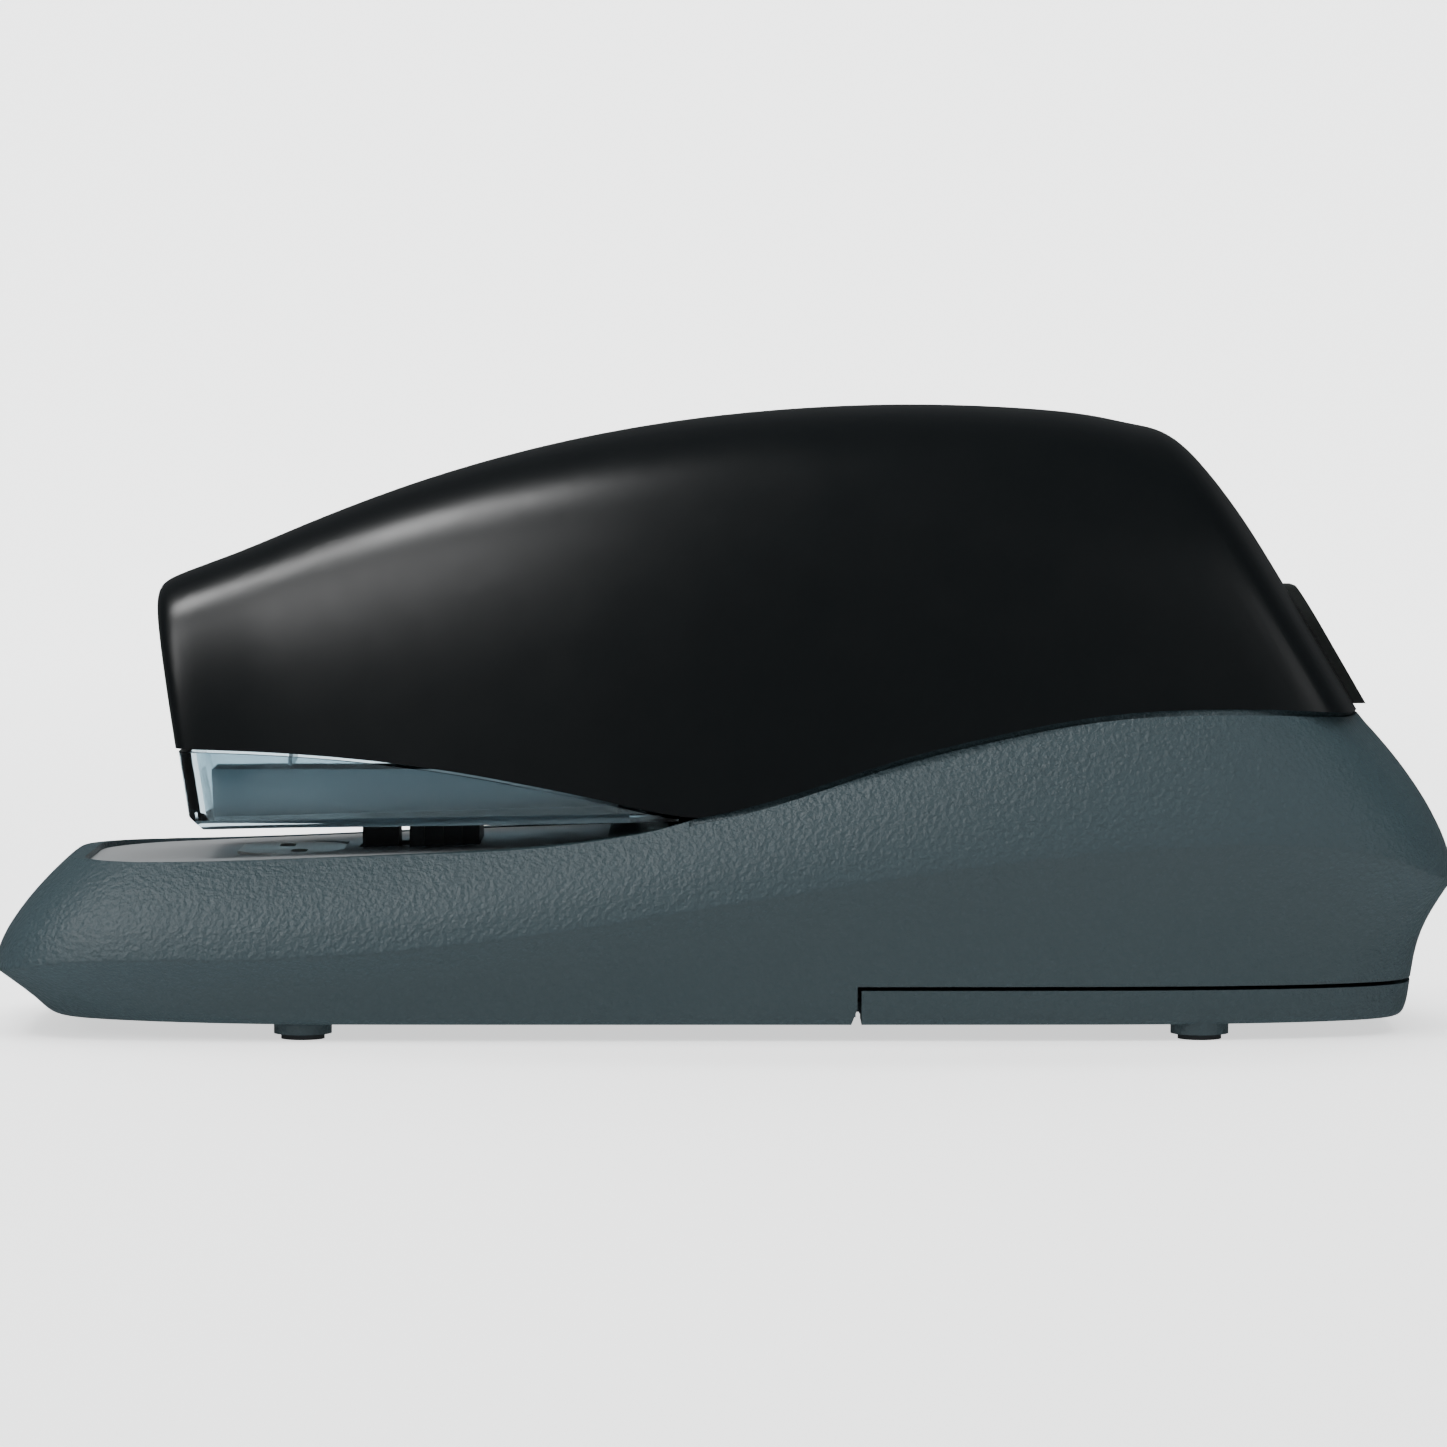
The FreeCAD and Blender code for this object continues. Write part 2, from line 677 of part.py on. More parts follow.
def make_motor():
    x, z = CENTRES[0]
    can = rod_y(x, z, MOTOR_R, PLATE_IN - MOTOR_LONG, PLATE_IN)
    boss = rod_y(x, z, 3.0, PLATE_IN, PLATE_IN + PLATE)
    tail = rod_y(x, z, 4.5, PLATE_IN - MOTOR_LONG - 2.0, PLATE_IN - MOTOR_LONG)
    bore = rod_y(x, z, 1.0 + SHAFT_CLEAR, PLATE_IN - 10, 40)
    return joined(can, [boss, tail]).cut(bore)


def make_guide():
    """The block in the nose that keeps the driver straight."""
    z0, z1 = 44.0, 66.0
    half = BLADE_W / 2 + FIT
    x0 = BLADE_X - 1.6
    body = box(x0, TIP_X + 4.6, -PLATE_IN, PLATE_IN, z0, 49.0)
    body = joined(body, [box(x0, BLADE_X - FIT, -PLATE_IN, PLATE_IN, z0, z1)])
    groove = box(BLADE_X - FIT, TIP_X - BLOCK_HALF + FIT, -half, half, 40, 80)
    well = box(TIP_X - BLOCK_HALF - 0.2, TIP_X + 5, -3.3 - 0.35, 3.3 + 0.35, 37, 80)
    pocket = box(TIP_X - BLOCK_HALF - 0.2, TIP_X + 6, -5.8, 5.8, 46.0, 80)
    return body.cut(groove).cut(well).cut(pocket)


# ---- deck, anvil, paper parts -------------------------------------------
def anvil_shape(grow, z0, z1):
    return slot_shape(STAPLE_X, 0, ANVIL_WIDE + 2 * grow, ANVIL_LONG + 2 * grow, z0, z1, "y")


def trigger_slot(z0, z1, grow=0.0):
    back = TRIGGER_X1 + 2.0 + grow
    return box(TRIGGER_X0 - 0.5 - grow, back, -TRIGGER_HALF - 0.5 - grow, TRIGGER_HALF + 0.5 + grow, z0, z1)


def make_deck():
    plate = deck_outline(0.0, 20, 34).common(deck_slab(0.0, DECK_THICK))
    holes = [anvil_shape(FIT / 3, 20, 34), trigger_slot(20, 34)]
    holes.append(box(STOP_X0 - FIT / 3, STOP_X1 + FIT / 3, -STOP_HALF - FIT / 3, STOP_HALF + FIT / 3, 20, 34))
    return plate.cut(holes)


def make_anvil():
    z = deck_z(STAPLE_X)
    body = anvil_shape(0.0, z - 1.8, z)
    for side in (-1, 1):
        for dx, y in ((-1.2 * side, 5.6 * side),):
            well = slot_shape(STAPLE_X + dx, y, 6.4, 2.4, z - 0.6, z + 2, "y")
            body = body.cut(well)
    return body


def make_stop():
    foot = box(STOP_X0, STOP_X1, -STOP_HALF, STOP_HALF, deck_z(STOP_X0) - 3.0, CHANNEL_Z - 0.4)
    grooves = []
    for k in range(3):
        x = STOP_X0 + 2.2 + 2.8 * k
        for y in (-STOP_HALF, STOP_HALF):
            grooves.append(box(x, x + 0.9, y - 0.5, y + 0.5, deck_z(STOP_X0), CHANNEL_Z))
    return foot.cut(grooves)


def make_trigger():
    top = CHANNEL_Z - 0.6
    x0, x1 = TRIGGER_X0, TRIGGER_X1
    z = TRIGGER_PIVOT_Z
    xc = (x0 + x1) / 2
    side = [(x0, top), (x1, top), (x1, 22), (xc + 1.6, z + 2)]
    side += [(xc + 1.6, z), (xc - 1.6, z), (xc - 1.6, z + 2), (x0, 22)]
    lever = prism(side, -TRIGGER_HALF, TRIGGER_HALF)
    hub = rod_y(xc, z, 2.6, -TRIGGER_HALF - 1, TRIGGER_HALF + 1)
    toe = box(xc - 6.5, xc, -1.5, 1.5, z - 1.2, z + 1.2)
    return joined(lever, [hub, toe]).cut(rod_y(xc, z, 1.0 + SHAFT_CLEAR, -20, 20)), xc


def finish_base(shell, inner):
    """Pocket, slots, bosses and hinge arms on the base housing."""
    pocket = deck_outline(FIT / 3, 15, 40).common(deck_slab(-6.0, DECK_THICK + 6.0))
    shell = shell.cut(pocket)
    z = deck_z(STAPLE_X)
    shell = shell.cut([anvil_shape(FIT / 3, z - 1.8, z + 4), trigger_slot(10, 40)])
    seat = box(STOP_X0, STOP_X1, -STOP_HALF, STOP_HALF, deck_z(STOP_X0) - 3.0, 40)
    under = anvil_shape(2.0, z - 3.4, z - 1.8).common(inner)
    cup_half = STOP_HALF + 1.5
    cup_z0, cup_z1 = deck_z(STOP_X0) - 4.5, deck_z(STOP_X1) - 1.5
    cup = box(STOP_X0 - 1.5, STOP_X1 + 1.5, -cup_half, cup_half, cup_z0, cup_z1)
    shell = shell.fuse([under, cup]).cut(seat).cut(trigger_slot(10, 40))
    bosses = [rod_z(FOOT_X[0], y, 4.25, 0.8, FOOT_HEIGHT + 1.0) for y in (-FOOT_Y, FOOT_Y)]
    xc = (TRIGGER_X0 + TRIGGER_X1) / 2
    ears = []
    for y in (-TRIGGER_HALF - 3.2, TRIGGER_HALF + 1.4):
        ears.append(box(xc - 2.5, xc + 2.5, y, y + 1.8, FOOT_HEIGHT + 1.0, TRIGGER_PIVOT_Z + 2.5))
    arms = []
    for y in (-19.5, 14.5):
        arms.append(box(17.2, HINGE_X, y, y + 5, HINGE_Z - 0.75, HINGE_Z + 0.75))
        arms.append(rod_y(HINGE_X, HINGE_Z, HINGE_R, y, y + 5))
    shell = shell.fuse(bosses + ears + arms)
    lip = DOOR_X0 - DOOR_GAP
    notch_z = HINGE_Z + 0.85
    notch = prism([
        (lip - 0.9, 0), (lip - 0.9, FOOT_HEIGHT), (lip, notch_z), (DOOR_X0 + 3, notch_z), (DOOR_X0 + 3, 0),
    ], -60, 60)
    between = [box(10, 30, a, b, -5, 12) for a, b in ((-60, -19.5), (-14.5, 14.5), (19.5, 60))]
    shell = shell.cut([notch.common(b) for b in between])
    drill = [rod_y(HINGE_X, HINGE_Z, 0.7, -30, 30), rod_y(xc, TRIGGER_PIVOT_Z, 1.0, -20, 20)]
    for x, y in BASE_SCREWS:
        drill.append(rod_z(x, y, 1.6, 0, 10))
        drill.append(rod_z(x, y, 3.1, 0, FOOT_HEIGHT + 1.2))
    return shell.cut(drill).removeSplitter()


HINGE_X = DOOR_X0 + 1.5
HINGE_Z = FOOT_HEIGHT + 1.55
BASE_SCREWS = ((14.0, -22.0), (14.0, 22.0))


def make_door():
    outer = base_skin()
    inner = base_skin(2.0)
    body = outer.cut(inner).common(box(DOOR_X0, 120, -60, 60, -5, DOOR_Z))
    front = outer.common(box(DOOR_X0, DOOR_X0 + 2.0, -60, 60, -5, DOOR_Z - 1.5))
    body = body.fuse(front)
    arms = [box(DOOR_X0 - 1, HINGE_X + HINGE_R + 0.5, y - 0.4, y + 5.4, 0, 20) for y in (-19.5, 14.5)]
    body = body.cut(arms)
    knuckles = [rod_y(HINGE_X, HINGE_Z, HINGE_R, y, y + 6) for y in (-26, -13.9, 7.9, 20)]
    ribs = [box(28, 74, y - 0.6, y + 0.6, FOOT_HEIGHT + 1.9, 6.4) for y in (-CELL_PITCH, 0, CELL_PITCH)]
    bosses = [rod_z(FOOT_X[1], y, 4.25, 0.8, FOOT_HEIGHT + 1.0) for y in (-FOOT_Y, FOOT_Y)]
    body = body.fuse(knuckles + ribs + bosses)
    return body.cut(rod_y(HINGE_X, HINGE_Z, 0.7 + SHAFT_CLEAR, -26.2, 26.2)).removeSplitter()


# ---- power ---------------------------------------------------------------
CELL_YS = [CELL_PITCH * (k - 1.5) for k in range(4)]
FLANGE_SCREWS = ((46, -15.5), (52, -15.5), (20, 15.5), (27, 15.5))


def make_power(inner):
    parts = {}
    x0, x1 = CELL_X0, CELL_X0 + CELL_LONG
    top = box(8, x1 + 3, -60, 60, TRAY_TOP - 1.6, TRAY_TOP).common(inner)
    row = 2 * CELL_PITCH
    walls = [box(x0 - 3.0, x0 - 1.8, -row - 0.2, row + 0.2, DOOR_Z + 0.6, TRAY_TOP - 1.6)]
    walls.append(box(x1 + 1.8, x1 + 3.0, -row + 1.8, row - 1.8, DOOR_Z + 0.6, TRAY_TOP - 1.6))
    ribs = []
    for y in (-CELL_PITCH, 0, CELL_PITCH):
        ribs.append(box(x0 + 6, x1 - 6, y - 0.5, y + 0.5, TRAY_TOP - 4.2, TRAY_TOP - 1.6))
    floor = FOOT_HEIGHT + WALL
    posts = [rod_z(x, y, 3.0, floor, TRAY_TOP) for x, y in BASE_SCREWS]
    bosses = [rod_z(x, y, 2.6, TRAY_TOP, CHASSIS_Z) for x, y in FLANGE_SCREWS]
    tray = joined(top, walls + ribs + posts + bosses)
    drill = [rod_z(x, y, 1.25, 0, floor + 10) for x, y in BASE_SCREWS]
    drill += [rod_z(x, y, 1.0, TRAY_TOP - 1.0, 30) for x, y in FLANGE_SCREWS]
    parts["battery_tray"] = tray.cut(drill)
    cells, springs, plates = [], [], []
    for k, y in enumerate(CELL_YS):
        plus_front = k % 2 == 0
        nub_x = (x0, x0 + 1.0) if plus_front else (x1 - 1.0, x1)
        can_x = (x0 + 1.0, x1) if plus_front else (x0, x1 - 1.0)
        body = rod_x(y, CELL_Z, CELL_DIA / 2, *can_x)
        nub = rod_x(y, CELL_Z, 2.75, *nub_x)
        cells.append(body.fuse(nub).removeSplitter())
        if plus_front:
            springs.append(Part.makeCone(2.6, 4.2, 1.5, V(x1, y, CELL_Z), V(1, 0, 0)))
        else:
            springs.append(Part.makeCone(4.2, 2.6, 1.5, V(x0 - 1.5, y, CELL_Z), V(1, 0, 0)))
    for a, b in ((x0 - 1.8, x0 - 1.5), (x1 + 1.5, x1 + 1.8)):
        for y in (-CELL_PITCH, CELL_PITCH):
            plate_half = CELL_PITCH / 2 + 4.8
            plates.append(box(a, b, y - plate_half, y + plate_half, CELL_Z - 4.6, CELL_Z + 4.6))
    caps = []
    for k, y in enumerate(CELL_YS):
        cap_x = (x0 - 1.5, x0) if k % 2 == 0 else (x1, x1 + 1.5)
        caps.append(rod_x(y, CELL_Z, 2.5, *cap_x))
    parts["battery_cells"] = Part.makeCompound(cells)
    parts["battery_springs"] = Part.makeCompound(springs)
    fused = []
    for plate in plates:
        near = [c for c in caps if c.distToShape(plate)[0] < 1e-6]
        fused.append(joined(plate, near))
    parts["contact_plates"] = Part.makeCompound(fused)
    return parts


def make_board():
    z = FOOT_HEIGHT + WALL + 3.0
    board = box(-44, -14, -18, 18, z, z + 1.6)
    posts = [rod_z(x, y, 2.2, FOOT_HEIGHT + WALL, z) for x in (-41, -17) for y in (-15, 15)]
    face = z + 1.6
    chips = [box(-38, -30, -6, 6, face, face + 1.6), box(-33, -27, 9, 14, face, face + 3.9)]
    chips += [rod_z(-22, y, 3.0, face, face + 7.4) for y in (-9, 9)]
    return {
        "control_board": board,
        "board_posts": Part.makeCompound(posts),
        "board_parts": Part.makeCompound(chips),
    }


def make_switch(xc):
    z = TRIGGER_PIVOT_Z
    x1 = xc - 7.2
    body = box(x1 - 12, x1, -3.2, 3.2, z - 7, z - 1.4)
    leg = box(x1 - 11, x1 - 1, -3.2, 3.2, FOOT_HEIGHT + WALL, z - 7)
    return joined(body, [leg])


# ---- drawer --------------------------------------------------------------
def make_drawer(guard):
    parts = {"guard_window": guard}
    half = channel_half()
    inside = half - CHANNEL_SHEET
    floor = CHANNEL_Z + CHANNEL_SHEET
    x0 = STAPLE_X - 12.0
    top = 38.3
    body = box(x0, CHANNEL_X1, -half, half, CHANNEL_Z, top)
    body = body.cut(box(x0 - 1, CHANNEL_X1 - 1.2, -inside, inside, floor, top + 1))
    exit_slot = box(STAPLE_X - 0.45, STAPLE_X + 0.45, -inside, inside, CHANNEL_Z - 1, floor)
    body = body.cut(exit_slot)
    parts["staple_channel"] = body.cut(guard)
    nose = box(x0, STAPLE_X - 0.4, -inside, inside, floor, top - 0.1)
    parts["nose_block"] = nose
    leg_z = floor
    crown = leg_z + STAPLE_LEG
    rail_half = STAPLE_CROWN / 2 - STAPLE_WIRE - 0.2
    rail_x0 = STAPLE_X + 0.4
    rail_top = crown - STAPLE_WIRE - 0.05
    rail = box(rail_x0, CHANNEL_X1 - 1.2, -rail_half, rail_half, floor, rail_top)
    hollow = rail_half - CHANNEL_SHEET
    rail_roof = rail_top - CHANNEL_SHEET
    rail = rail.cut(box(rail_x0 + 1.0, CHANNEL_X1, -hollow, hollow, floor - 1, rail_roof))
    rail = rail.cut(box(-44, CHANNEL_X1, -1.1, 1.1, floor, rail_top + 1))
    rod_z0 = floor + 2.5
    rod = rod_x(0, rod_z0, 0.8, rail_x0 + 1.0, CHANNEL_X1 - 1.2)
    parts["core_rail"] = rail
    parts["spring_rod"] = rod
    s0 = STAPLE_X + BLADE_T / 2 + 0.1
    s1 = s0 + STRIP_LENGTH
    hw = STAPLE_CROWN / 2
    strip = box(s0, s1, -hw, hw, leg_z, crown)
    strip = strip.cut(box(s0 - 1, s1 + 1, -hw + STAPLE_WIRE, hw - STAPLE_WIRE, leg_z - 1, crown - STAPLE_WIRE))
    parts["staple_strip"] = strip
    tooth_y = ROD_Y
    hook = box(-15.5, -8.8, tooth_y - 1.6, tooth_y + 1.6, 30, 34.2)
    hook = joined(hook, [box(-10.6, -8.8, tooth_y - 1.6, tooth_y + 1.6, 30, 36.4)])
    over = prism([(-20, guard_line(-20) + 1.2), (0, guard_line(0) + 1.2), (0, 60), (-20, 60)], -60, 60)
    parts["drawer_hook"] = hook.common(over)
    p0 = s1 + 0.1
    p1 = p0 + 8.0
    wide = inside - 0.15
    block = box(p0, p1, -wide, wide, rail_top + 0.08, top)
    skirts = []
    for side in (-1, 1):
        y0, y1 = sorted((side * (rail_half + 0.12), side * wide))
        skirts.append(box(p0, p1, y0, y1, floor + 0.3, rail_top + 0.1))
    tongue = box(p0 + 1, p1, -0.9, 0.9, rod_z0, rail_top + 0.1)
    ring = rod_x(0, rod_z0, 1.9, p0 + 1, p1)
    pusher = joined(block, skirts + [tongue, ring]).cut(rod_x(0, rod_z0, 0.8 + SHAFT_CLEAR, -80, 0))
    parts["pusher"] = pusher
    coil = rod_x(0, rod_z0, 1.8, p1 + 0.05, CHANNEL_X1 - 1.25).cut(rod_x(0, rod_z0, 1.1, -80, 0))
    parts["pusher_spring"] = coil
    return parts


# ---- release -------------------------------------------------------------
LATCH_X = -2.0
LATCH_Z = 72.0


def make_release():
    parts = {}
    button = button_block()
    parts["release_button"] = button
    face = 109.9 + TAIL_LEAN * (ROD_Z - FLARE_Z) - BUTTON_DEEP
    rod = box(LATCH_X + 3.4, face, ROD_Y - 1.2, ROD_Y + 1.2, ROD_Z - 1.5, ROD_Z + 1.5)
    arm = box(face - 3, face, ROD_Y - 1.2, -BUTTON_HALF + 4, ROD_Z - 3.0, ROD_Z + 3.0)
    collar = box(52, 53.2, ROD_Y - 3.0, ROD_Y + 3.0, ROD_Z - 3.0, ROD_Z + 3.0)
    parts["release_rod"] = joined(rod, [arm, collar]).cut(button)
    coil = rod_x(ROD_Y, ROD_Z, 2.7, 36.0, 52.0).cut(rod_x(ROD_Y, ROD_Z, 2.0, 0, 120))
    parts["button_spring"] = coil
    y0, y1 = ROD_Y - 1.0, ROD_Y + 1.0
    lever = [
        (LATCH_X - 3.0, LATCH_Z + 3.0), (LATCH_X + 3.0, LATCH_Z + 3.0), (LATCH_X + 3.0, ROD_Z - 3), (-6, 40),
        (-10.5, 37.0), (-13.5, 37.0), (-13.5, 40.0), (LATCH_X - 3.0, ROD_Z),
    ]
    body = prism(lever, y0, y1)
    hub = rod_y(LATCH_X, LATCH_Z, 3.0, y0, -PLATE_IN - PLATE - 0.3)
    parts["latch_lever"] = joined(body, [hub]).cut(rod_y(LATCH_X, LATCH_Z, 1.5 + SHAFT_CLEAR, -30, 30))
    parts["latch_leaf"] = prism([(-12.9, 36.95), (-12.9, 34.6), (-10.9, 34.6), (-12.1, 36.95)], y0, y1)
    parts["latch_pin"] = rod_y(LATCH_X, LATCH_Z, 1.5, ROD_Y - 1.8, -PLATE_IN)
    guide = box(30, 36, ROD_Y - 3.2, -PLATE_IN - PLATE, ROD_Z - 3.5, ROD_Z + 3.5)
    channel = box(28, 38, ROD_Y - 1.3, ROD_Y + 1.3, ROD_Z - 1.6, ROD_Z + 1.6)
    parts["rod_guide"] = guide.cut(channel)
    return parts


# ---- put it together -----------------------------------------------------
def build():
    parts = {}
    shell, inner = make_base()
    parts["base_housing"] = finish_base(shell, inner)
    parts["deck_plate"] = make_deck()
    parts["anvil_insert"] = make_anvil()
    parts["paper_stop"] = make_stop()
    parts["trigger_lever"], xc = make_trigger()
    parts["trigger_pin"] = rod_y(xc, TRIGGER_PIVOT_Z, 1.0, -TRIGGER_HALF - 3.2, TRIGGER_HALF + 3.2)
    parts["micro_switch"] = make_switch(xc)
    parts["front_feet"] = Part.makeCompound([rod_z(FOOT_X[0], y, FOOT_R, 0, 0.8) for y in (-FOOT_Y, FOOT_Y)])
    parts["rear_feet"] = Part.makeCompound([rod_z(FOOT_X[1], y, FOOT_R, 0, 0.8) for y in (-FOOT_Y, FOOT_Y)])
    parts["battery_door"] = make_door()
    hinge_pins = [rod_y(HINGE_X, HINGE_Z, 0.7, a, b) for a, b in ((-26, -8), (8, 26))]
    parts["door_hinge_pins"] = Part.makeCompound(hinge_pins)
    parts.update(make_power(inner))
    parts.update(make_board())
    screws = []
    for x, y in BASE_SCREWS:
        head = rod_z(x, y, 2.9, FOOT_HEIGHT - 0.4, FOOT_HEIGHT + 1.2)
        screws.append(head.fuse(rod_z(x, y, 1.25, FOOT_HEIGHT + 1.2, 14)).removeSplitter())
    parts["base_screws"] = Part.makeCompound(screws)
    outer, hollow = cover_skin(), cover_skin(COVER_WALL)
    parts["top_cover"] = make_cover(outer, hollow)
    parts.update(make_chassis(TRAY_TOP))
    parts["gearbox_plate"] = make_gearbox_plate()
    parts["motor_can"] = make_motor()
    parts["magazine_guide"] = make_guide()
    parts.update(make_train())
    parts["heart_cam"] = make_cam()
    parts.update(make_arm())
    parts.update(make_driver())
    parts.update(make_drawer(make_guard()))
    parts.update(make_release())
    spring_x = 6.0
    parts["arm_spring"] = rod_z(spring_x, 0, 2.6, 36.0, 54.0).cut(rod_z(spring_x, 0, 1.9, 30, 60))
    return parts


def main():
    os.makedirs("parts", exist_ok=True)
    for name, shape in build().items():
        shape.exportStep(os.path.join("parts", name + ".step"))


main()
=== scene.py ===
# %% [markdown]
# # A battery desk stapler
# The stapler's parts are already modelled to size. This lesson gives them the finish of the
# real pieces and a plain studio. First the measured parts are loaded.

# %% Load the measured parts
import json
import math
import bpy
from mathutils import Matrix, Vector


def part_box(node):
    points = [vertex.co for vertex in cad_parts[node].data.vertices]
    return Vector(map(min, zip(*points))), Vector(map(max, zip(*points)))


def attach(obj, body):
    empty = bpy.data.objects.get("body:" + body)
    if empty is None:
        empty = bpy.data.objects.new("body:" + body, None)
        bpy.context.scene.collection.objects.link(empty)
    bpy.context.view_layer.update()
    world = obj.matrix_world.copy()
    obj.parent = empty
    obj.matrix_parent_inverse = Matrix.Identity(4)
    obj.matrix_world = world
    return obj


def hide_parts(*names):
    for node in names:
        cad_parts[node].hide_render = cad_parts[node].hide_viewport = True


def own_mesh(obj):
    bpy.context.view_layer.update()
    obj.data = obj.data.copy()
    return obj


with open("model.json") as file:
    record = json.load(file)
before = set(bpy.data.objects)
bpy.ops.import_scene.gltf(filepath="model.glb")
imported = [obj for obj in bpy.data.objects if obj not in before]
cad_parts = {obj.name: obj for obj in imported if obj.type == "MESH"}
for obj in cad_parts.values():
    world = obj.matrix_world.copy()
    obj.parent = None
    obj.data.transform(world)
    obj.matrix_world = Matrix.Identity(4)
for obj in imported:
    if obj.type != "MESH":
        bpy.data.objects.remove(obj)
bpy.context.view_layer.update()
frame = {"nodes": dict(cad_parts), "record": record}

nodes = frame["nodes"]
MM = 0.001

# %% [markdown]
# Every finish is a small tree of shader nodes. One function adds a node, sets its values and
# joins it to earlier nodes. Colours are written as the usual screen hex values, and one
# function turns them into the linear light values that a shader works in.

# %% Colour and node helpers
def linear(code):
    """An sRGB hex colour as linear light."""
    parts = [int(code[k:k + 2], 16) / 255 for k in (1, 3, 5)]
    return [v / 12.92 if v <= 0.04045 else ((v + 0.055) / 1.055) ** 2.4 for v in parts] + [1.0]


def add(tree, kind, links=None, **settings):
    """Add one node: settings name its properties or its input sockets, links name its inputs."""
    node = tree.nodes.new(kind)
    for name, value in settings.items():
        if hasattr(node, name):
            setattr(node, name, value)
        else:
            node.inputs[name.replace("_", " ")].default_value = value
    for name, source in (links or {}).items():
        socket = node.inputs[name] if isinstance(name, int) else node.inputs[name.replace("_", " ")]
        tree.links.new(source, socket)
    return node


def new_finish(name):
    """A blank material with its shader and the point in the part's own space."""
    finish = bpy.data.materials.new(name)
    finish.use_nodes = True
    tree = finish.node_tree
    shader = tree.nodes["Principled BSDF"]
    place = add(tree, "ShaderNodeTexCoord").outputs["Object"]
    return finish, tree, shader, place


def per_metre(size_mm):
    """Texture scale that makes one cell size_mm wide."""
    return 1.0 / (size_mm * MM)

# %% [markdown]
# The camera stands side on, one metre away and just above the height of the stapler, with a
# long lens. It is turned down a little so that the whole body sits in a square frame.

# %% Camera
FRAME_WIDTH = 217.05 * MM
EYE = Vector((0.0, -1.0, 0.10))
AIM = Vector((0.0, 0.0, 0.0447))
SENSOR = 36.0
lens_data = bpy.data.cameras.new("side_camera")
lens_data.sensor_width = SENSOR
lens_data.lens = SENSOR * (AIM - EYE).length / FRAME_WIDTH
lens_data.clip_start = 0.05
camera = bpy.data.objects.new("side_camera", lens_data)
camera.location = EYE
camera.rotation_euler = (AIM - EYE).to_track_quat("-Z", "Y").to_euler()
bpy.context.scene.collection.objects.link(camera)
bpy.context.scene.camera = camera
print("lens", round(lens_data.lens, 1))

# %% [markdown]
# Small goods are often shown on a sheet of white acrylic that curves up behind them and glows
# a little from lamps below it, so the ground is nearly white and the shadow is thin. The sheet
# is swept here from one curved outline. Black flags around a real set keep it out of the
# glossy shell, so it is left out of mirror reflections. It is stage, not part of the stapler.

# %% White acrylic sweep
def mesh_piece(name, verts, faces):
    """A smooth shaded mesh object, linked into the scene."""
    mesh = bpy.data.meshes.new(name)
    mesh.from_pydata([tuple(v) for v in verts], [], faces)
    for face in mesh.polygons:
        face.use_smooth = True
    piece = bpy.data.objects.new(name, mesh)
    bpy.context.scene.collection.objects.link(piece)
    return piece


FRONT, CURVE_AT, CURVE, SHEET_TOP = -2.5, 1.2, 0.8, 3.2     # metres
SHEET_HALF = 3.0
sweep = [(FRONT, 0.0), (CURVE_AT, 0.0)]
for k in range(1, 13):
    turn = math.pi / 24 * k
    sweep.append((CURVE_AT + CURVE * math.sin(turn), CURVE - CURVE * math.cos(turn)))
sweep.append((CURVE_AT + CURVE, SHEET_TOP))
card_verts = [(x, y, z) for x in (-SHEET_HALF, SHEET_HALF) for y, z in sweep]
row = len(sweep)
card_faces = [(k, k + 1, row + k + 1, row + k) for k in range(row - 1)]
card = mesh_piece("card_sweep", card_verts, card_faces)
card_white, _, shader, _ = new_finish("white_acrylic_sheet")
shader.inputs["Base Color"].default_value = linear("#f4f5f5")
shader.inputs["Roughness"].default_value = 0.75
shader.inputs["Emission Color"].default_value = linear("#ffffff")
shader.inputs["Emission Strength"].default_value = 1.1
card.data.materials.append(card_white)
card.visible_glossy = False
print("sheet faces", len(card_faces))

# %% [markdown]
# Soft light comes from panels: one at the nose side, one at the rear side, one for the sheet
# behind, a small one for the grain and a large one overhead that only fills. A glossy dark shell
# shows a panel as a long highlight, so the places of the first two shape the form.

# %% Soft boxes
def soft_box(name, place, aim, size, power):
    """A white panel lamp at a place, turned to an aim. Sizes are in metres, power in watts."""
    data = bpy.data.lights.new(name, "AREA")
    data.shape = "RECTANGLE"
    data.size, data.size_y = size
    data.energy = power
    lamp = bpy.data.objects.new(name, data)
    lamp.location = place
    lamp.rotation_euler = (Vector(aim) - Vector(place)).to_track_quat("-Z", "Y").to_euler()
    bpy.context.scene.collection.objects.link(lamp)
    return lamp


# The nose box stands 42 degrees to the left of the view, where the rounded flank mirrors it.
soft_box("nose_box", (-0.72, -0.80, 0.62), (-0.05, 0.0, 0.06), (0.42, 0.55), 3.2)
soft_box("rear_box", (0.78, -0.90, 0.42), (0.05, 0.0, 0.05), (0.6, 0.5), 0.9)
back = soft_box("card_box", (0.0, 0.9, 1.7), (0.0, 1.9, 0.6), (2.4, 0.8), 66.0)
# A smaller lamp, high over the nose, grazes the near flank and draws the housing's grain.
soft_box("grain_box", (-0.55, -0.30, 0.95), (-0.04, 0.0, 0.03), (0.22, 0.22), 4.0)
# This one only fills. It and the card lamp stay out of mirror reflections, as lamps behind
# a scrim would.
fill = soft_box("fill_box", (0.0, -0.35, 1.25), (0.0, 0.0, 0.0), (1.6, 1.2), 20.0)
fill.visible_glossy = False
back.visible_glossy = False
world = bpy.data.worlds.new("studio")
bpy.context.scene.world = world
world.use_nodes = True
world.node_tree.nodes["Background"].inputs["Color"].default_value = linear("#dfe3e6")
world.node_tree.nodes["Background"].inputs["Strength"].default_value = 0.13
print("lamps", len(bpy.data.lights))

